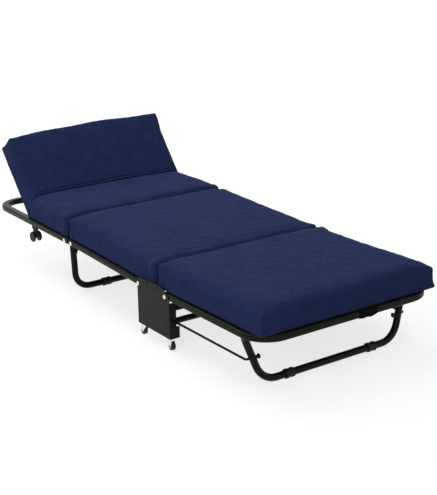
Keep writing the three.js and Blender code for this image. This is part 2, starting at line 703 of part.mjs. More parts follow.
for (const [hand, side] of Object.entries(SIDES)) {
  piece(midLeg, `middle_leg_sleeve_${hand}`, sleeve(side * MID_SLEEVE_X, 0, -midDrop), MATT_BLACK);
  for (const [name, y] of [["middle", -HINGE_SPAN / 2], ["head", HINGE_SPAN / 2]]) {
    const bolt = railBolt(side, FRAME_W / 2, RAIL_IN - SEAT - BRACKET_T).translate(0, y, 0);
    piece(midLeg, `${name}_hinge_bolt_${hand}`, bolt, ZINC);
  }
}

// ---- Head section ----
const head = section(bed, "head_section", HEAD_BOLT_Y, HINGE_Z, 0);
const casterY = HEAD_CASTER_Y - HEAD_BOLT_Y;
const headHoles = [];
for (const side of Object.values(SIDES)) {
  headHoles.push(boltHole(side, 0));
  headHoles.push(
    pinZ(CASTER_PIN_D + 2 + 2 * PLAY, -RAIL_H, HEAD_PIN_UP - RAIL_H / 2 + 1, side * HEAD_CASTER_X, casterY),
  );
}
piece(head, "head_frame", cut(railU(-HINGE_STUB, FRAME_L - HEAD_BOLT_Y), ...headHoles), GLOSS_BLACK);
addSlats(head, "head_slat", HEAD_SLATS, 1);
const headPadStart = HEAD_CREASE_Y - HEAD_BOLT_Y;
const headPadEnd = HEAD_PAD_END_Y - HEAD_BOLT_Y;
piece(head, "head_mattress", pad(headPadStart, headPadEnd), NAVY);

const backY = BACK_PIVOT_Y - HEAD_BOLT_Y;
const raise = deg(BACK_RAISE);
// Point of the raised backrest, given along and off its slope, in head section Y and Z.
const onBack = (along, off) => [
  backY + along * Math.cos(raise) - off * Math.sin(raise),
  along * Math.sin(raise) + off * Math.cos(raise),
];
const foldShape = outline([
  [headPadEnd + PAD_GAP, PAD_Z + SEAT],
  [onBack(0, PAD_Z + SEAT)[0] + 4, PAD_Z + SEAT],
  onBack(BACK_PAD_START - PAD_GAP, PAD_Z + SEAT),
  onBack(BACK_PAD_START - PAD_GAP, PAD_Z + BACK_PAD_T - PAD_TOP_R),
  onBack(BACK_PAD_START - PAD_TOP_R, PAD_Z + BACK_PAD_T - SEAT),
  [headPadEnd + PAD_GAP, PAD_Z + PAD_T - SEAT],
]);
piece(head, "head_mattress_fold", plateX(foldShape, -PAD_W / 2 + 4, PAD_W / 2 - 4), NAVY);

for (const [hand, side] of Object.entries(SIDES)) {
  const arm = BACK_X + BACK_TUBE_D / 2 + SEAT;
  const inner = BACK_X - BACK_TUBE_D / 2 - SEAT;
  const profile = [
    [0, inner - 3.5],
    [6, inner - 3.5],
    [6, inner],
    [BOLT_D / 2, inner],
    [BOLT_D / 2, arm],
    [BARREL_D / 2, arm],
    [BARREL_D / 2, RAIL_IN - SEAT],
    [0, RAIL_IN - SEAT],
  ];
  piece(head, `backrest_hinge_${hand}`, turnedX(profile, side).translate(0, backY, 0), GLOSS_BLACK);
}

// ---- Backrest ----
const back = section(head, "backrest", backY, 0, raise);
function backFrame() {
  const corners = [
    [-BACK_X, -BACK_STUB, 0],
    [-BACK_X, BACK_L, 0],
    [BACK_X, BACK_L, 0],
    [BACK_X, -BACK_STUB, 0],
  ];
  const frame = fuse(
    tube(corners, BACK_TUBE_D, BACK_BEND_R),
    pinX(BACK_BAR_D, -BACK_X, BACK_X, BACK_BAR),
  );
  const holes = Object.values(SIDES).map((side) =>
    pinX(BOLT_D + 2 * PLAY, side * (BACK_X - BACK_TUBE_D), side * (BACK_X + BACK_TUBE_D)),
  );
  return cut(frame, ...holes);
}
piece(back, "backrest_frame", backFrame(), GLOSS_BLACK);
piece(back, "backrest_mattress", pad(BACK_PAD_START, BACK_PAD_END, PAD_Z, BACK_PAD_T), NAVY);

// ---- Twin casters under the head section ----
function headFork() {
  const top = -RAIL_H / 2 - SEAT;
  const axle = -HEAD_CASTER_DROP;
  const cheek = outline([
    [-HEAD_STEM_TOP_D / 2, top],
    [-HEAD_STEM_TOP_D / 2, top - 8],
    [-7, axle + 12],
    [-6, axle - 4],
    [-3, axle - 7],
    [3, axle - 7],
    [6, axle - 4],
    [7, axle + 12],
    [HEAD_STEM_TOP_D / 2, top - 8],
    [HEAD_STEM_TOP_D / 2, top],
  ]);
  const body = fuse(
    plateX(cheek, -HEAD_STEM_W / 2, HEAD_STEM_W / 2),
    pinZ(HEAD_STEM_TOP_D + 1, top - 8, top),
    pinZ(CASTER_PIN_D + 2, top - 2, HEAD_PIN_UP - RAIL_H / 2),
  );
  return cut(body, pinX(CASTER_AXLE_D + 2 * PLAY, -HEAD_STEM_W, HEAD_STEM_W, 0, axle));
}

function twinWheels() {
  const r = HEAD_WHEEL_D / 2;
  const near = (HEAD_WHEEL_PITCH - HEAD_WHEEL_W) / 2;
  const far = near + HEAD_WHEEL_W;
  const axle = CASTER_AXLE_D / 2;
  const half = [
    [axle, near],
    [r - 1.2, near],
    [r, near + 1.2],
    [r, far - 3],
    [r - 3, far],
    [r - 8, far],
    [r - 10, far - 1.5],
    [0, far - 1.5],
  ];
  const mirrored = half.map(([x, d]) => [x, -d]).reverse();
  return turnedX([...mirrored, ...half], 1, 24);
}

for (const [hand, side] of Object.entries(SIDES)) {
  const caster = section(head, `head_caster_${hand}`, casterY, 0, 0);
  caster.position.x = side * HEAD_CASTER_X;
  piece(caster, `head_caster_fork_${hand}`, headFork(), MATT_BLACK);
  const wheels = piece(caster, `head_caster_wheels_${hand}`, twinWheels(), MATT_BLACK);
  wheels.position.z = -HEAD_CASTER_DROP;
}

export default bed;
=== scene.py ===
"""Looks of the rollaway bed: quilted mattress panels, painted tube frame, casters, studio."""

import json
import math

import bmesh
import bpy
from mathutils import Matrix, Vector, noise


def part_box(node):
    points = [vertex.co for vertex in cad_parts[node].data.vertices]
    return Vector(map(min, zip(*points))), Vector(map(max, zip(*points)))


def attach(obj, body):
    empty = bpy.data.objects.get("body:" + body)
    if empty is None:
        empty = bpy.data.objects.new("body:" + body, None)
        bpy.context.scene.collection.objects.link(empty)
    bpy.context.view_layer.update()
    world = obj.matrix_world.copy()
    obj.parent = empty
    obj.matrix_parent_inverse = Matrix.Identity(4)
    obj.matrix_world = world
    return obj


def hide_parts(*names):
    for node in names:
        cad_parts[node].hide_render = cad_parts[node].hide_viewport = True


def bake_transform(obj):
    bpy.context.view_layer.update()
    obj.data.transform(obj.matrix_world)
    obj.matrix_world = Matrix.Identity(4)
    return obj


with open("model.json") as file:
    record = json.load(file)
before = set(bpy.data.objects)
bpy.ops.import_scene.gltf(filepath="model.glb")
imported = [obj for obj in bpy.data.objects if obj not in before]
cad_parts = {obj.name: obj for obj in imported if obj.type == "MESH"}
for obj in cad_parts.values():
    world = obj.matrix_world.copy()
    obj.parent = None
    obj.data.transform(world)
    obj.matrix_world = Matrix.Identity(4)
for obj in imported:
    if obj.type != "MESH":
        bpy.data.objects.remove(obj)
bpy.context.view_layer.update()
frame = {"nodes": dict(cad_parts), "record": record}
JOINTS = {j["name"]: j for j in frame["record"]["behaviour"]["joints"]}
SCENE = bpy.context.scene


def pivot(joint):
    return Vector(JOINTS[joint]["pos_m"])


FOOT_PIVOT, LEG_PIVOT = pivot("foot_fold"), pivot("foot_leg_fold")
MIDDLE_PIVOT, HINGE_PIVOT = pivot("middle_fold"), pivot("middle_leg_fold")
HEAD_PIVOT, BACK_PIVOT = pivot("head_fold"), pivot("backrest_tilt")
FOOT_SLOPE = math.atan2(LEG_PIVOT.z - FOOT_PIVOT.z, FOOT_PIVOT.y - LEG_PIVOT.y)
MIDDLE_SLOPE = math.atan2(HINGE_PIVOT.z - MIDDLE_PIVOT.z, HINGE_PIVOT.y - MIDDLE_PIVOT.y)
BACK_RAISE = math.radians(-JOINTS["backrest_tilt"]["range_deg"][0])
BEND_AT = BACK_PIVOT.y - HEAD_PIVOT.y  # where the head panel folds, along the panel
HALF_BEND = BACK_RAISE / 2
MITRE = Vector((0, math.cos(HALF_BEND), math.sin(HALF_BEND)))  # across the plane that halves the fold

PANEL_T = 0.088
HALF_W = 0.366
SIDE_DRAW = 0.003  # sides drawn in between the corners
CORNER_R = 0.007  # sewn corners
FOOT_EDGE_R = 0.003  # lower edge, where the panel rests on the rail
GRID = 0.0085  # spacing of a panel's mesh before its subdivision
QUILT = 0.062  # between neighbouring quilting lines
DECK = 0.0116  # panel underside above the rail's centre line
TUCK = 0.0045  # softness of the head fold's lips

# Shaping of a panel's foam block.
END_TO_SIDE = (0.012, 0.085)  # over this stretch an end's rounding turns into the side's
CORNER_REACH = 0.10
DROOP_REACH = 0.055
CREASE_PINCH, PINCH_REACH = 0.011, 0.013  # the cover drawn in right at a crease
CREASE_EDGE_R = 0.012
SWELL, SWELL_AT = 0.005, (0.026, 0.014)  # and its swelling just beside it: distance and spread
EAR, EAR_AT, EAR_SIDE = 0.003, (0.024, 0.016), 0.045
SIDE_BELLY, END_BELLY = 0.0022, 0.0018

# Depths of the sewn cover and the painted shade in its hollows, each with its distance from an edge and its
# spread.
QUILT_DEPTH, QUILT_SHADE, STITCH_PULL = 0.0012, 0.16, 0.0065
BORDER_DEPTH, BORDER_SHADE, BORDER_AT = 0.0007, 0.12, (0.026, 0.005)
LONG_WAVE, SHORT_WAVE, DRAG_LINE = 0.0016, 0.0006, 0.0011
CREASE_FOLD, FOLD_SHADE, FOLD_REACH = 0.0027, 0.25, 0.075
TUCK_SHADE, TUCK_REACH = 0.80, 0.009
GATHER, GATHER_REACH = 0.0016, 0.040
SEAM_RIDGE, SEAM_WIDTH = 0.0014, 0.004
SEAM_DRAW, SEAM_REACH = 0.0013, 0.060
SEAM_SHADE, SEAM_SHADE_AT = 0.3, (0.008, 0.003)
FOLD_LINE, SECOND_LINE = (0.0, 0.0030), (0.0125, 0.0022)
LINE_DEPTH, LINE_TROUGH = 0.0020, (0.0125, 0.0030)
LIP_RISE, LIP_AT = 0.0012, (0.0065, 0.0030)


# ---------------------------------------------------------------- small helpers
def new_object(name, bm):
    mesh = bpy.data.meshes.new(name)
    bm.to_mesh(mesh)
    bm.free()
    obj = bpy.data.objects.new(name, mesh)
    SCENE.collection.objects.link(obj)
    return obj


def only(obj):
    bpy.ops.object.select_all(action="DESELECT")
    obj.select_set(True)
    bpy.context.view_layer.objects.active = obj


def smooth(obj, angle=math.radians(40)):
    for polygon in obj.data.polygons:
        polygon.use_smooth = True
    bm = bmesh.new()
    bm.from_mesh(obj.data)
    for edge in bm.edges:
        edge.smooth = len(edge.link_faces) != 2 or edge.calc_face_angle(0) < angle
    bm.to_mesh(obj.data)
    bm.free()


def ease(x, a, b):
    t = max(0.0, min(1.0, (x - a) / (b - a)))
    return t * t * (3 - 2 * t)


def mix(a, b, t):
    return a + (b - a) * t


def hill(t, centre, spread):
    return math.exp(-(((t - centre) / spread) ** 2))


# ---------------------------------------------------------------- shader groups
class Group:
    """A shader node group under construction: named inputs, named outputs, a few node makers."""

    def __init__(self, name, **inputs):
        self.tree = bpy.data.node_groups.new(name, "ShaderNodeTree")
        for key, value in inputs.items():
            kind = "NodeSocketColor" if isinstance(value, tuple) else "NodeSocketFloat"
            socket = self.tree.interface.new_socket(key.replace("_", " "), in_out="INPUT", socket_type=kind)
            socket.default_value = value
        self.given = self.tree.nodes.new("NodeGroupInput")
        self.result = self.tree.nodes.new("NodeGroupOutput")

    def input(self, name):
        return self.given.outputs[name]

    def output(self, name, source, kind="NodeSocketFloat"):
        self.tree.interface.new_socket(name, in_out="OUTPUT", socket_type=kind)
        self.tree.links.new(source, self.result.inputs[name])

    def node(self, kind, **inputs):
        node = self.tree.nodes.new(kind)
        for key, value in inputs.items():
            self.put(node.inputs[key], value)
        return node

    def put(self, socket, value):
        """A socket is linked, anything else is a constant."""
        if isinstance(value, bpy.types.NodeSocket):
            self.tree.links.new(value, socket)
        else:
            socket.default_value = value

    def math(self, operation, *values):
        node = self.tree.nodes.new("ShaderNodeMath")
        node.operation = operation
        for socket, value in zip(node.inputs, values):
            self.put(socket, value)
        return node.outputs[0]

    def span(self, value, a, b, low, high):
        node = self.tree.nodes.new("ShaderNodeMapRange")
        for socket, setting in zip(list(node.inputs)[:5], (value, a, b, low, high)):
            self.put(socket, setting)
        return node.outputs["Result"]

    def blend(self, amount, first, second, kind="MIX"):
        node = self.tree.nodes.new("ShaderNodeMix")
        node.data_type = "RGBA"
        node.blend_type = kind
        for key, value in (("Factor_Float", amount), ("A_Color", first), ("B_Color", second)):
            self.put(next(s for s in node.inputs if s.identifier == key), value)
        return next(s for s in node.outputs if s.identifier == "Result_Color")

    def place(self):
        return self.tree.nodes.new("ShaderNodeTexCoord").outputs["Object"]

    def noise(self, scale, detail=3.0, roughness=0.5):
        node = self.node("ShaderNodeTexNoise", Scale=scale, Detail=detail, Roughness=roughness)
        self.put(node.inputs["Vector"], self.place())
        return node.outputs["Fac"]


def clouded_tone():
    """A tone that wanders a little darker and lighter over the piece."""
    group = Group("clouded_tone", Tone=(0.5, 0.5, 0.5, 1.0), Size=10.0, Spread=0.2)
    cloud = group.noise(group.input("Size"), 4.0, 0.6)
    drift = group.math("MULTIPLY_ADD", group.math("SUBTRACT", cloud, 0.5), group.input("Spread"), 0.5)
    dark = group.blend(1.0, group.input("Tone"), (0.0, 0.0, 0.0, 1.0))
    light = group.blend(1.0, group.input("Tone"), group.input("Tone"), "ADD")
    group.output("Color", group.blend(drift, dark, light), "NodeSocketColor")
    return group.tree


def uneven_gloss():
    """Roughness that varies with handling and wiping."""
    group = Group("uneven_gloss", Roughness=0.5, Size=40.0, Spread=0.2)
    cloud = group.noise(group.input("Size"), 3.0)
    swing = group.math("MULTIPLY", group.math("SUBTRACT", cloud, 0.5), group.input("Spread"))
    base = group.input("Roughness")
    group.output("Roughness", group.math("MULTIPLY_ADD", swing, base, base))
    return group.tree


def settled_dust():
    """Fine dust on faces that look up."""
    group = Group("settled_dust", Amount=0.1, Tone=(0.5, 0.5, 0.5, 1.0), Dust=(0.3, 0.29, 0.27, 1.0))
    facing = group.node("ShaderNodeNewGeometry").outputs["Normal"]
    split = group.node("ShaderNodeSeparateXYZ", Vector=facing)
    upward = group.span(split.outputs["Z"], 0.35, 1.0, 0.0, 1.0)
    patchy = group.span(group.noise(28.0, 5.0, 0.65), 0.35, 0.75, 0.0, 1.0)
    amount = group.math("MULTIPLY", group.math("MULTIPLY", upward, patchy), group.input("Amount"))
    group.output("Color", group.blend(amount, group.input("Tone"), group.input("Dust")), "NodeSocketColor")
    group.output("Amount", amount)
    return group.tree


def surface_grain():
    """Height of a fine grain: orange peel of enamel, moulding texture, plating."""
    group = Group("surface_grain", Size=600.0, Strength=0.12, Depth=0.0004)
    bump = group.node("ShaderNodeBump", Height=group.noise(group.input("Size"), 2.0))
    group.put(bump.inputs["Strength"], group.input("Strength"))
    group.put(bump.inputs["Distance"], group.input("Depth"))
    group.output("Normal", bump.outputs["Normal"], "NodeSocketVector")
    return group.tree


def plain_weave():
    """Over-and-under threads in the piece's own cloth coordinates, with crumpled cloth beneath."""
    group = Group("plain_weave", Pitch=0.0016, Thread=0.35, Crumple=0.35)
    cloth = group.tree.nodes.new("ShaderNodeUVMap")
    cloth.uv_map = "cloth"
    count = group.math("DIVIDE", 0.314, group.input("Pitch"))
    threads = []
    for axis in ("X", "Y"):
        at = cloth.outputs["UV"]
        wave = group.node("ShaderNodeTexWave", Scale=count, Distortion=1.1, Detail=2.0, Vector=at)
        wave.inputs["Detail Scale"].default_value = 2.0
        wave.bands_direction = axis
        threads.append(wave.outputs["Fac"])
    weave = group.math("MULTIPLY", *threads)
    crumpled = group.node("ShaderNodeBump", Distance=0.002, Height=group.noise(55.0, 5.0, 0.55))
    group.put(crumpled.inputs["Strength"], group.input("Crumple"))
    woven = group.node("ShaderNodeBump", Distance=0.0006, Height=weave, Normal=crumpled.outputs["Normal"])
    group.put(woven.inputs["Strength"], group.input("Thread"))
    group.output("Threads", weave)
    group.output("Normal", woven.outputs["Normal"], "NodeSocketVector")
    return group.tree


def shaded_hollow():
    """Painted shade: darker cloth in sewn-down lines, tucks and the gaps between threads."""
    group = Group("shaded_hollow", Tone=(0.5, 0.5, 0.5, 1.0), Amount=0.0)
    shade = group.blend(group.input("Amount"), group.input("Tone"), (0.45, 0.45, 0.5, 1.0), "MULTIPLY")
    group.output("Color", shade, "NodeSocketColor")
    return group.tree


CLOUDED, GLOSS, DUST = clouded_tone(), uneven_gloss(), settled_dust()
GRAIN, WEAVE, HOLLOW_SHADE = surface_grain(), plain_weave(), shaded_hollow()


# ---------------------------------------------------------------- materials
class Finish:
    """A material: shader groups placed with their own values, and constants on the shader itself."""

    def __init__(self, name, **constants):
        self.material = bpy.data.materials.new(name)
        self.material.use_nodes = True
        self.tree = self.material.node_tree
        self.shader = self.tree.nodes["Principled BSDF"]
        for key, value in constants.items():
            self.shader.inputs[key.replace("_", " ")].default_value = value

    def use(self, group, **inputs):
        node = self.tree.nodes.new("ShaderNodeGroup")
        node.node_tree = group
        for key, value in inputs.items():
            if isinstance(value, bpy.types.NodeSocket):
                self.tree.links.new(value, node.inputs[key])
            else:
                node.inputs[key].default_value = value
        return node

    def feed(self, key, socket):
        self.tree.links.new(socket, self.shader.inputs[key])


def hard_finish(name, tone, roughness, cloud, gloss, grain, dust=0.0, **constants):
    """cloud is size and spread, gloss is size and spread, grain is size, strength and depth."""
    finish = Finish(name, **constants)
    color = finish.use(CLOUDED, Tone=tone + (1.0,), Size=cloud[0], Spread=cloud[1]).outputs["Color"]
    if dust:
        color = finish.use(DUST, Amount=dust, Tone=color).outputs["Color"]
    finish.feed("Base Color", color)
    finish.feed("Roughness", finish.use(GLOSS, Roughness=roughness, Size=gloss[0], Spread=gloss[1]).outputs[0])
    finish.feed("Normal", finish.use(GRAIN, Size=grain[0], Strength=grain[1], Depth=grain[2]).outputs[0])
    return finish.material


def cloth_finish(name, tone, pitch, thread, crumple, painted_fold_shade, **constants):
    """Woven cloth with painted shade: darker where it is sewn down or tucked in, or else in the gaps between
    its threads.
    """
    finish = Finish(name, **constants)
    weave = finish.use(WEAVE, Pitch=pitch, Thread=thread, Crumple=crumple)
    color = finish.use(CLOUDED, Tone=tone + (1.0,), Size=14.0, Spread=0.3).outputs["Color"]
    if painted_fold_shade:
        # painted shade from the panel's creases, tucks, seams and quilting lines
        shade_attribute = finish.tree.nodes.new("ShaderNodeAttribute")
        shade_attribute.attribute_name = "painted_shade"
        amount = shade_attribute.outputs["Fac"]
    else:
        # painted shade in the gaps between the threads
        thread_gap_shade = finish.tree.nodes.new("ShaderNodeMapRange")
        thread_gap_shade.inputs["To Min"].default_value = 0.6
        thread_gap_shade.inputs["To Max"].default_value = 0.0
        finish.tree.links.new(weave.outputs["Threads"], thread_gap_shade.inputs["Value"])
        amount = thread_gap_shade.outputs["Result"]
    finish.feed("Base Color", finish.use(HOLLOW_SHADE, Tone=color, Amount=amount).outputs["Color"])
    finish.feed("Roughness", finish.use(GLOSS, Roughness=0.85, Size=30.0, Spread=0.1).outputs[0])
    finish.feed("Normal", weave.outputs["Normal"])
    return finish.material


NAVY = cloth_finish(
    "navy_cover",
    (0.0160, 0.0300, 0.0950),
    pitch=0.0017,
    thread=0.35,
    crumple=0.30,
    painted_fold_shade=True,
    Specular_IOR_Level=0.06,
    Sheen_Weight=0.025,
    Sheen_Roughness=0.5,
    Sheen_Tint=(0.6, 0.66, 0.9, 1.0),
)
WEBBING = cloth_finish(
    "dark_webbing",
    (0.0040, 0.0040, 0.0055),
    pitch=0.0022,
    thread=0.5,
    crumple=0.2,
    painted_fold_shade=False,
    Specular_IOR_Level=0.06,
)
FRAME_PAINT = hard_finish(
    "gloss_black",
    (0.0060, 0.0057, 0.0035),
    0.32,
    cloud=(9.0, 0.4),
    gloss=(40.0, 0.4),
    grain=(600.0, 0.10, 0.0004),
    dust=0.01,
    Specular_IOR_Level=0.05,
    Coat_Weight=0.11,
    Coat_Roughness=0.10,
)
ROD_PAINT = hard_finish(
    "satin_black",
    (0.004, 0.004, 0.0038),
    0.45,
    cloud=(12.0, 0.4),
    gloss=(60.0, 0.3),
    grain=(700.0, 0.1, 0.0003),
    Specular_IOR_Level=0.12,
)
ZINC = hard_finish(
    "bright_zinc",
    (0.78, 0.78, 0.77),
    0.24,
    cloud=(120.0, 0.4),
    gloss=(300.0, 0.6),
    grain=(900.0, 0.1, 0.0003),
    Metallic=1.0,
)
MOULDED = {"cloud": (60.0, 0.5), "gloss": (200.0, 0.3), "grain": (1500.0, 0.2, 0.0003)}
BLACK_PLASTIC = hard_finish(
    "black_plastic", (0.0085, 0.0085, 0.0085), 0.5, **MOULDED, dust=0.02, Specular_IOR_Level=0.2
)
WHEEL_GREY = hard_finish(
    "wheel_rubber", (0.022, 0.022, 0.024), 0.6, **MOULDED, dust=0.05, Specular_IOR_Level=0.25
)

FINISHES = {
    "frame_paint": FRAME_PAINT,
    "rod_paint": ROD_PAINT,
    "zinc_steel": ZINC,
    "black_plastic": BLACK_PLASTIC,
    "wheel_grey": WHEEL_GREY,
    "webbing": WEBBING,
}


# ---------------------------------------------------------------- hard pieces
BODY_OF = {node: body for body, nodes in frame["record"]["behaviour"]["bodies"].items() for node in nodes}
SLOT_OF = {part["node"]: part["material_slot"] for part in frame["record"]["subparts"]}
EDGE = {"caster": 0.0004, "side_plate": 0.0007, "slat": 0.0006}  # width of the broken edges
PLAIN_EDGE = 0.0005


def dress(node):
    """A merged, smoothly shaded copy of a CAD piece with slightly broken edges, in its finish."""
    bm = bmesh.new()
    bm.from_mesh(frame["nodes"][node].data)
    bmesh.ops.remove_doubles(bm, verts=bm.verts, dist=1e-6)
    bmesh.ops.dissolve_limit(bm, angle_limit=math.radians(1), verts=bm.verts, edges=bm.edges)
    obj = new_object(f"look_{node}", bm)
    obj.data.materials.clear()
    obj.data.materials.append(FINISHES[SLOT_OF[node]])
    smooth(obj)
    bevel = obj.modifiers.new("edge", "BEVEL")
    bevel.width = next((w for key, w in EDGE.items() if key in node), PLAIN_EDGE)
    bevel.segments = 2
    bevel.limit_method = "ANGLE"
    bevel.angle_limit = math.radians(45)
    bevel.harden_normals = True
    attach(obj, BODY_OF[node])
    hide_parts(node)
    return obj


for node_name, slot_name in SLOT_OF.items():
    if slot_name in FINISHES and slot_name != "webbing":
        dress(node_name)


# ---------------------------------------------------------------- mattress panels
SWOLLEN_BY = 0.006  # furthest that the cover may leave the foam
PRESSURE_STEPS = 20


def ripple(x, y, z, scale, seed):
    return noise.noise(Vector((x * scale, y * scale, z * scale + seed)))


class Panel:
    """A boxed, quilted foam panel in its own space: x across, s along, h above the rail's centre line.

    start and end say what each end is: "free", or "crease" where it meets its neighbour.
    edge gives the rounding of the top edge at the start, along the sides and at the end.
    """

    def __init__(self, name, s0, s1, seed, start, end, edge, height=PANEL_T, crown=0.004):
        self.name, self.s0, self.s1, self.seed = name, s0, s1, seed
        self.ends = (start, end)
        self.edge = edge
        self.h0, self.h1 = DECK, DECK + height
        self.crown = crown
        self.stray = None
        self.droop = (0.0, 0.0)
        self.fold_at = None
        self.finer_at = []

    def lattice(self):
        sizes = (2 * HALF_W, self.s1 - self.s0, self.h1 - self.h0)
        bm = bmesh.new()
        bmesh.ops.create_cube(bm, size=1.0)
        for axis in range(3):
            cuts = max(4, round(sizes[axis] / GRID))
            places = [k / cuts - 0.5 for k in range(1, cuts)]
            if axis == 1:
                places += [(s - self.s0) / sizes[1] - 0.5 for s in self.finer_at]
            for place in places:
                point, normal = Vector(), Vector()
                point[axis] = place
                normal[axis] = 1
                geometry = bm.verts[:] + bm.edges[:] + bm.faces[:]
                bmesh.ops.bisect_plane(bm, geom=geometry, plane_co=point, plane_no=normal)
        return bm

    def place(self, q):
        """From the unit cube to the panel: crisp sewn corners, softer edges, crowned top, drawn-in sides."""
        half_s, half_h = (self.s1 - self.s0) / 2, (self.h1 - self.h0) / 2
        side = HALF_W * (1 - 2 * abs(q.x))
        first, last = (q.y + 0.5) * 2 * half_s, (0.5 - q.y) * 2 * half_s
        near_end = min(first, last)
        which = 0 if first < last else 1
        end_edge = self.edge[0] if which == 0 else self.edge[2]
        top_r = mix(end_edge, self.edge[1], ease(near_end, *END_TO_SIDE))
        corner = math.hypot(side, near_end)
        corner_r = CORNER_R if self.ends[which] == "free" else min(end_edge, CREASE_EDGE_R)
        top_r = mix(corner_r, top_r, ease(corner, 0.0, CORNER_REACH))
        up = q.z + 0.5
        radius = mix(FOOT_EDGE_R, top_r, ease(up, 0.25, 0.8))
        mid = 1 - ease(abs(2 * q.y), 0.1, 1.0)
        half_w = HALF_W - SIDE_DRAW * mid
        if self.ends[which] == "crease":
            half_w -= CREASE_PINCH * (1 - ease(near_end, 0.0, PINCH_REACH))
            half_w += SWELL * hill(near_end, *SWELL_AT) * (0.4 + 0.6 * up)
        p = Vector((q.x * 2 * half_w, q.y * 2 * half_s, q.z * 2 * half_h))
        inner = Vector(
            (
                max(radius - half_w, min(half_w - radius, p.x)),
                max(radius - half_s, min(half_s - radius, p.y)),
                max(radius - half_h, min(half_h - radius, p.z)),
            )
        )
        out = p - inner
        if out.length > 1e-7:
            p = inner + out.normalized() * radius
        top = ease(up, 0.35, 1.0)
        p.z += top * self.crown * (1 - (2 * q.x) ** 2) * (1 - (2 * q.y) ** 2)
        p.z -= self.droop[which] * ease(up, 0.1, 1.0) * hill(corner, 0.0, DROOP_REACH)
        if self.ends[which] == "crease":
            p.z += top * EAR * (hill(near_end, *EAR_AT) * hill(side, 0.0, EAR_SIDE))
        belly = 1 - (2 * up - 0.9) ** 2
        if abs(q.x) > 0.49:
            p.x += math.copysign(SIDE_BELLY * max(0.0, belly), p.x) * ease(near_end, 0, 0.08)
        if abs(q.y) > 0.49:
            p.y += math.copysign(END_BELLY * max(0.0, belly), p.y) * ease(side, 0, 0.08)
        return Vector((p.x, p.y + (self.s1 + self.s0) / 2, p.z + (self.h1 + self.h0) / 2))

    def build(self):
        bm = self.lattice()
        for vert in bm.verts:
            vert.co = self.place(vert.co)
        bmesh.ops.recalc_face_normals(bm, faces=bm.faces)
        self.obj = new_object(self.name, bm)
        inflate(self.obj, SWOLLEN_BY, self.h0)
        return self.obj


def inflate(obj, cap, rests_at):
    """Swells the cover with air pressure as cloth, near the foam and held where it rests on the frame."""
    rest = [v.co.copy() for v in obj.data.vertices]
    only(obj)
    cloth = obj.modifiers.new("cover", "CLOTH")
    settings = cloth.settings
    settings.quality = 5
    settings.mass = 0.3
    settings.use_pressure = True
    settings.uniform_pressure_force = 4.0
    settings.tension_stiffness = 20
    settings.compression_stiffness = 12
    settings.shear_stiffness = 6
    settings.bending_stiffness = 0.4
    settings.effector_weights.gravity = 0.0
    cloth.collision_settings.use_collision = False
    cloth.point_cache.frame_start = 1
    cloth.point_cache.frame_end = PRESSURE_STEPS
    for step in range(1, PRESSURE_STEPS + 1):
        SCENE.frame_set(step)
    depsgraph = bpy.context.evaluated_depsgraph_get()
    swollen = [v.co.copy() for v in obj.evaluated_get(depsgraph).data.vertices]
    obj.modifiers.remove(cloth)
    SCENE.frame_set(1)
    for vert, start, end in zip(obj.data.vertices, rest, swollen):
        move = end - start
        length = move.length
        if length > 1e-9:
            free = ease(start.z - rests_at, 0.004, 0.030)
            vert.co = start + move * (free * cap * math.tanh(length / cap) / length)


def to_line(t, spacing):
    """Distance to the nearest of a family of lines."""
    return abs(t / spacing - round(t / spacing)) * spacing


def quilt_puff(x, s):
    """0 on a sewn diamond line, 1 in the middle of a diamond."""
    near = min(to_line((x + s) / math.sqrt(2), QUILT), to_line((x - s) / math.sqrt(2), QUILT))
    return 1 - hill(near, 0.0, STITCH_PULL)


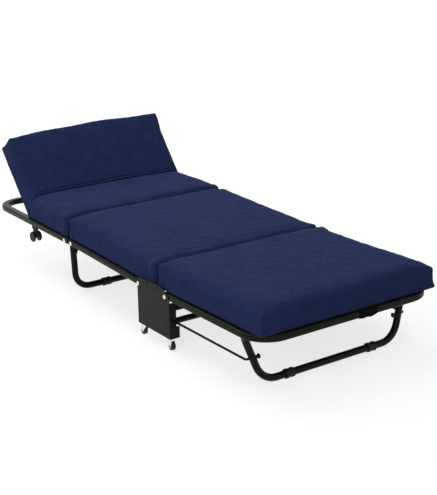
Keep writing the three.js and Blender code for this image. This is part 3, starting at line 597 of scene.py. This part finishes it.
def cover(panel, to_row):
    """Quilts, creases and wrinkles a panel, paints shade into its sewn lines, creases and tucks, gives it
    cloth coordinates and moves it to its place.
    """
    obj = panel.obj
    only(obj)
    finer = obj.modifiers.new("finer", "SUBSURF")
    finer.levels = finer.render_levels = 1
    bpy.ops.object.modifier_apply(modifier="finer")
    mesh = obj.data
    # painted shade per point, darkening the cover's colour in its sewn lines, creases, tucks and seams
    painted_shade = mesh.attributes.new("painted_shade", "FLOAT", "POINT")
    normals = [v.normal.copy() for v in mesh.vertices]
    cloth_at = []
    seed = panel.seed
    for vert, normal in zip(mesh.vertices, normals):
        x, s, h = vert.co
        up = max(0.0, normal.z)
        top = ease(up, 0.35, 0.9)
        side = HALF_W - abs(x)
        ends = (s - panel.s0, panel.s1 - s)
        calm = ease(min(side, *ends), 0.004, 0.05)
        puff = quilt_puff(x, s)
        shift = top * QUILT_DEPTH * (puff - 0.75) * (0.35 + 0.65 * calm)
        dark = 0.0
        # shallow line where the quilted top meets its border, with painted shade along it
        border = hill(side, *BORDER_AT) * top * ease(min(ends), 0.02, 0.05)
        shift -= BORDER_DEPTH * border
        dark += BORDER_SHADE * border
        # long, soft unevenness of the filling
        shift += LONG_WAVE * ripple(x, s, h, 7, seed + 5) * (0.4 + 0.6 * top)
        shift += SHORT_WAVE * ripple(x * 1.6, s, h, 30, seed)
        # drag lines on the sides, falling from the top edge
        flank = 1 - ease(up, 0.2, 0.7)
        lean = (s if abs(normal.x) > abs(normal.y) else x) + 0.35 * h
        shift += flank * DRAG_LINE * ripple(lean * 2.2, 0.25 * h, x, 26, seed + 9)
        for end in (0, 1):
            away = ends[end]
            if panel.ends[end] == "crease":
                # folds of the cover that run along the crease, and the tuck itself, with painted shade in the
                # fold troughs and the tuck
                pull = hill(away, 0.0, FOLD_REACH)
                wave = ripple(x * 0.35, s * 6.0 + 0.10 * x, 0, 13, seed + 3)
                shift += pull * top * CREASE_FOLD * wave
                dark += FOLD_SHADE * pull * top * max(0.0, -wave)
                dark += TUCK_SHADE * hill(away, 0.0, TUCK_REACH)
                gather = hill(away, 0.0, GATHER_REACH) * flank
                shift += gather * GATHER * ripple(s * 1.4, h * 0.8, 0, 62, seed + 4)
            else:
                # sewn upright seam at each free corner, with the cloth drawn towards it and painted shade
                # beside it
                seam = math.hypot(side, away)
                shift += SEAM_RIDGE * hill(seam, 0.0, SEAM_WIDTH) * flank
                around = hill(seam, 0.0, SEAM_REACH)
                wave = ripple(math.atan2(side, away + 1e-4) * 0.045, h * 2.0, 0, 60, seed + 6)
                shift += around * flank * SEAM_DRAW * wave
                dark += SEAM_SHADE * hill(seam, *SEAM_SHADE_AT) * flank
        if panel.fold_at is not None:
            # the top is tucked in where it folds, with a second sewn line just past it; painted shade along
            # both lines
            past = s - panel.fold_at - h * math.tan(HALF_BEND)
            inward = ease(side, 0.004, 0.05)
            shift -= LINE_DEPTH * inward * top * hill(past, *LINE_TROUGH)
            shift += LIP_RISE * inward * top * hill(past, *LIP_AT)
            dark += inward * top * (hill(past, *FOLD_LINE) + hill(past, *SECOND_LINE))
        under = ease(-normal.z, 0.3, 0.9)
        vert.co = vert.co + normal * shift * (1 - under)
        if vert.co.z < panel.h0:
            vert.co.z = panel.h0
        # painted shade: the darkening above plus the quilting lines
        painted_shade.data[vert.index].value = min(1.0, dark + QUILT_SHADE * top * calm * (1 - puff))
        cloth_at.append((x, s, h))
    layer = mesh.uv_layers.new(name="cloth")
    for polygon in mesh.polygons:
        n = polygon.normal
        for loop in polygon.loop_indices:
            x, s, h = cloth_at[mesh.loops[loop].vertex_index]
            if abs(n.z) >= max(abs(n.x), abs(n.y)):
                layer.data[loop].uv = (x, s)
            elif abs(n.x) >= abs(n.y):
                layer.data[loop].uv = (h, s)
            else:
                layer.data[loop].uv = (x, h)
        polygon.use_smooth = True
    if panel.stray:
        for vert in mesh.vertices:
            vert.co = panel.stray(vert.co)
    for vert in mesh.vertices:
        vert.co = to_row(vert.co)
    mesh.materials.clear()
    mesh.materials.append(NAVY)
    mesh.update()


def sloped(pivot_point, slope):
    """From a section's own space to the row frame."""
    turn = Matrix.Rotation(slope, 3, "X")
    return lambda p: turn @ p + pivot_point


CREASE = 0.5 * (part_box("foot_mattress_fold")[1][1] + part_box("middle_mattress_fold")[0][1])
HEAD_CREASE = 0.5 * (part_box("middle_mattress")[1][1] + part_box("head_mattress")[0][1])
FOOT_REACH = 0.010  # the cover reaches out over the foot bar
FOOT_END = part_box("foot_mattress")[0][1] - FOOT_REACH
BACK_END = (
    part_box("backrest_mattress")[1][1] - BACK_PIVOT.y + DECK * math.sin(BACK_RAISE)
) / math.cos(BACK_RAISE)
HALF_GAP = 0.0006


def foot_stray(p):
    """The free end lies a little to the right of the frame."""
    along = ease(-p.y, 0.05, -foot.s0)
    return Vector((p.x + (0.0085 + 0.0035 * p.x / HALF_W) * along, p.y, p.z))


foot = Panel(
    "foot_panel",
    FOOT_END - FOOT_PIVOT.y,
    CREASE - FOOT_PIVOT.y - HALF_GAP,
    1.0,
    "free",
    "crease",
    (0.024, 0.030, 0.006),
)
foot.droop = (0.014, 0.007)
foot.stray = foot_stray
foot.build()
cover(foot, sloped(FOOT_PIVOT, -FOOT_SLOPE))
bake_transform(foot.obj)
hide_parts("foot_mattress", "foot_mattress_fold")

middle = Panel(
    "middle_panel",
    CREASE - MIDDLE_PIVOT.y + HALF_GAP,
    HEAD_CREASE - MIDDLE_PIVOT.y - HALF_GAP,
    2.0,
    "crease",
    "crease",
    (0.024, 0.025, 0.009),
)
middle.droop = (0.005, 0.011)
middle.build()
cover(middle, sloped(MIDDLE_PIVOT, MIDDLE_SLOPE))
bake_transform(middle.obj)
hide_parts("middle_mattress", "middle_mattress_fold")


def bent(p):
    """Head panel to the row frame: flat, then sloping up, pressed against the halving plane between."""
    flat = Vector((p.x, p.y - BEND_AT, p.z))
    past = flat.y > 0
    q = Matrix.Rotation(BACK_RAISE, 3, "X") @ flat if past else flat
    off = q.dot(MITRE) if past else -q.dot(MITRE)
    pressed = (off + math.sqrt(off * off + TUCK * TUCK)) / 2
    q = q + MITRE * ((pressed - off) if past else (off - pressed))
    return q + BACK_PIVOT


def head_stray(p):
    """The top edge bows up and stands a little longer at the right hand."""
    along = ease(p.y, BEND_AT + 0.10, head.s1)
    across = p.x / HALF_W
    longer = 0.0075 * (1 + across) + 0.014 * (1 - across**2) - 0.006 + 0.002 * math.sin(8 * across)
    return Vector((p.x + 0.003 * along * ease(across, 0, 1), p.y + along * longer, p.z))


head = Panel(
    "head_panel",
    HEAD_CREASE - HEAD_PIVOT.y + HALF_GAP,
    BEND_AT + BACK_END - 0.004,
    3.0,
    "crease",
    "free",
    (0.022, 0.025, 0.009),
    height=PANEL_T + 0.003,
)
head.stray = head_stray
head.droop = (0.011, 0.0)
head.fold_at = BEND_AT
head.finer_at = [BEND_AT + head.h1 * math.tan(HALF_BEND) + 0.0025 * k for k in range(-3, 9)]
head.build()
cover(head, bent)
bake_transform(head.obj)
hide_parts("head_mattress", "head_mattress_fold", "backrest_mattress")

# ---------------------------------------------------------------- webbing loop
STRAP_CUTS = 16
STRAP_SAG, STRAP_LEAN = 0.0045, 0.0020

strap = dress("mattress_strap")
bm = bmesh.new()
bm.from_mesh(strap.data)
low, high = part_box("mattress_strap")
for k in range(1, STRAP_CUTS):
    across = mix(low[0], high[0], k / STRAP_CUTS)
    geometry = bm.verts[:] + bm.edges[:] + bm.faces[:]
    bmesh.ops.bisect_plane(bm, geom=geometry, plane_co=(across, 0, 0), plane_no=(1, 0, 0))
for vert in bm.verts:
    # the loop is slack: it sags below the bar and gathers at one side
    along = (vert.co.x - low[0]) / (high[0] - low[0])
    slack = math.sin(math.pi * along) * (0.65 + 0.35 * math.sin(11 * along))
    vert.co.z -= STRAP_SAG * slack * (1 - ease(vert.co.z, low[2] + 0.002, low[2] + 0.014))
    vert.co.y -= STRAP_LEAN * slack * (1 - ease(vert.co.y, low[1] + 0.001, low[1] + 0.010))
bmesh.ops.recalc_face_normals(bm, faces=bm.faces)
bm.to_mesh(strap.data)
bm.free()
smooth(strap)
layer = strap.data.uv_layers.get("cloth") or strap.data.uv_layers.new(name="cloth")
for polygon in strap.data.polygons:
    for loop in polygon.loop_indices:
        co = strap.data.vertices[strap.data.loops[loop].vertex_index].co
        layer.data[loop].uv = (co.x, co.y + co.z)


# ---------------------------------------------------------------- studio
FLOOR_TONE = 0.8
PAPER_SHADE = 0.40  # how strongly the seen floor takes light and shadow
PAPER_GLOW = 0.76  # its own white near the bed, rising to full white further out
PAPER_FADE = (1.4, 4.5)
FILL_LEVEL = 0.34  # the world as the object is lit by it


def stage_plane(name, size, place, material):
    bm = bmesh.new()
    bmesh.ops.create_grid(bm, x_segments=1, y_segments=1, size=size)
    obj = new_object(name, bm)
    obj.location = place
    obj.data.materials.append(material)


def for_the_eye(tree):
    """1 for rays from the camera, from mirrors and through clear things, 0 for the rest."""
    path = tree.nodes.new("ShaderNodeLightPath")
    total = path.outputs["Is Camera Ray"]
    for name in ("Is Glossy Ray", "Is Transmission Ray"):
        both = tree.nodes.new("ShaderNodeMath")
        both.operation = "MAXIMUM"
        tree.links.new(total, both.inputs[0])
        tree.links.new(path.outputs[name], both.inputs[1])
        total = both.outputs[0]
    return total


def studio_floor():
    """Pale floor: seen as white paper that keeps a soft shadow, and a plain lit floor for bounced light."""
    material = bpy.data.materials.new("studio_floor")
    material.use_nodes = True
    tree = material.node_tree
    plain = tree.nodes["Principled BSDF"]
    plain.inputs["Base Color"].default_value = (FLOOR_TONE, FLOOR_TONE, FLOOR_TONE, 1)
    plain.inputs["Roughness"].default_value = 0.9
    plain.inputs["Specular IOR Level"].default_value = 0.05
    paper = tree.nodes.new("ShaderNodeBsdfDiffuse")
    paper.inputs["Color"].default_value = (PAPER_SHADE, PAPER_SHADE, PAPER_SHADE, 1)
    glow = tree.nodes.new("ShaderNodeEmission")
    reach = tree.nodes.new("ShaderNodeVectorMath")
    reach.operation = "LENGTH"
    tree.links.new(tree.nodes.new("ShaderNodeTexCoord").outputs["Object"], reach.inputs[0])
    fade = tree.nodes.new("ShaderNodeMapRange")
    fade.inputs["From Min"].default_value, fade.inputs["From Max"].default_value = PAPER_FADE
    fade.inputs["To Min"].default_value = PAPER_GLOW
    fade.inputs["To Max"].default_value = 1.0
    tree.links.new(reach.outputs["Value"], fade.inputs["Value"])
    tree.links.new(fade.outputs["Result"], glow.inputs["Strength"])
    both = tree.nodes.new("ShaderNodeAddShader")
    tree.links.new(paper.outputs[0], both.inputs[0])
    tree.links.new(glow.outputs[0], both.inputs[1])
    choose = tree.nodes.new("ShaderNodeMixShader")
    tree.links.new(for_the_eye(tree), choose.inputs[0])
    tree.links.new(plain.outputs[0], choose.inputs[1])
    tree.links.new(both.outputs[0], choose.inputs[2])
    tree.links.new(choose.outputs[0], tree.nodes["Material Output"].inputs["Surface"])
    return material


stage_plane("floor", 12, (0, 0, -0.0005), studio_floor())

world = bpy.data.worlds.new("studio")
SCENE.world = world
world.use_nodes = True
tree = world.node_tree
background = tree.nodes["Background"]
background.inputs["Color"].default_value = (1, 1, 1, 1)
level = tree.nodes.new("ShaderNodeMapRange")
level.inputs["To Min"].default_value = FILL_LEVEL
level.inputs["To Max"].default_value = 1.0
tree.links.new(for_the_eye(tree), level.inputs["Value"])
tree.links.new(level.outputs["Result"], background.inputs["Strength"])


def softbox(name, place, aim, size, watts):
    data = bpy.data.lights.new(name, "AREA")
    data.shape = "RECTANGLE"
    data.size, data.size_y = size
    data.energy = watts
    obj = bpy.data.objects.new(name, data)
    SCENE.collection.objects.link(obj)
    obj.location = place
    obj.rotation_euler = (Vector(aim) - Vector(place)).to_track_quat("-Z", "Y").to_euler()


softbox("overhead", place=(-0.5, 1.5, 3.0), aim=(0, 0, 0.3), size=(3.0, 2.6), watts=50)
softbox("front_left", place=(-2.9, -2.0, 1.8), aim=(0, 0.2, 0.3), size=(2.0, 2.0), watts=31)
softbox("back_rim", place=(0.8, 3.4, 2.0), aim=(0, 0.6, 0.3), size=(2.4, 1.0), watts=8)

CAMERA_AT = (-2.272, -3.461, 1.551)
LOOK_AT = (-0.0231, -0.2616, 0.25)
CAMERA_ROLL = math.radians(-0.74)

camera_data = bpy.data.cameras.new("main_camera")
camera = bpy.data.objects.new("main_camera", camera_data)
SCENE.collection.objects.link(camera)
camera.location = CAMERA_AT
look = (Vector(LOOK_AT) - camera.location).to_track_quat("-Z", "Y")
roll = Matrix.Rotation(CAMERA_ROLL, 3, "Z").to_quaternion()
camera.rotation_euler = (look @ roll).to_euler()
camera_data.sensor_fit = "HORIZONTAL"
camera_data.lens = 93.1
camera_data.shift_x = -0.0105
camera_data.shift_y = 0.0064
camera_data.clip_end = 60
SCENE.camera = camera
SCENE.view_settings.view_transform = "Standard"
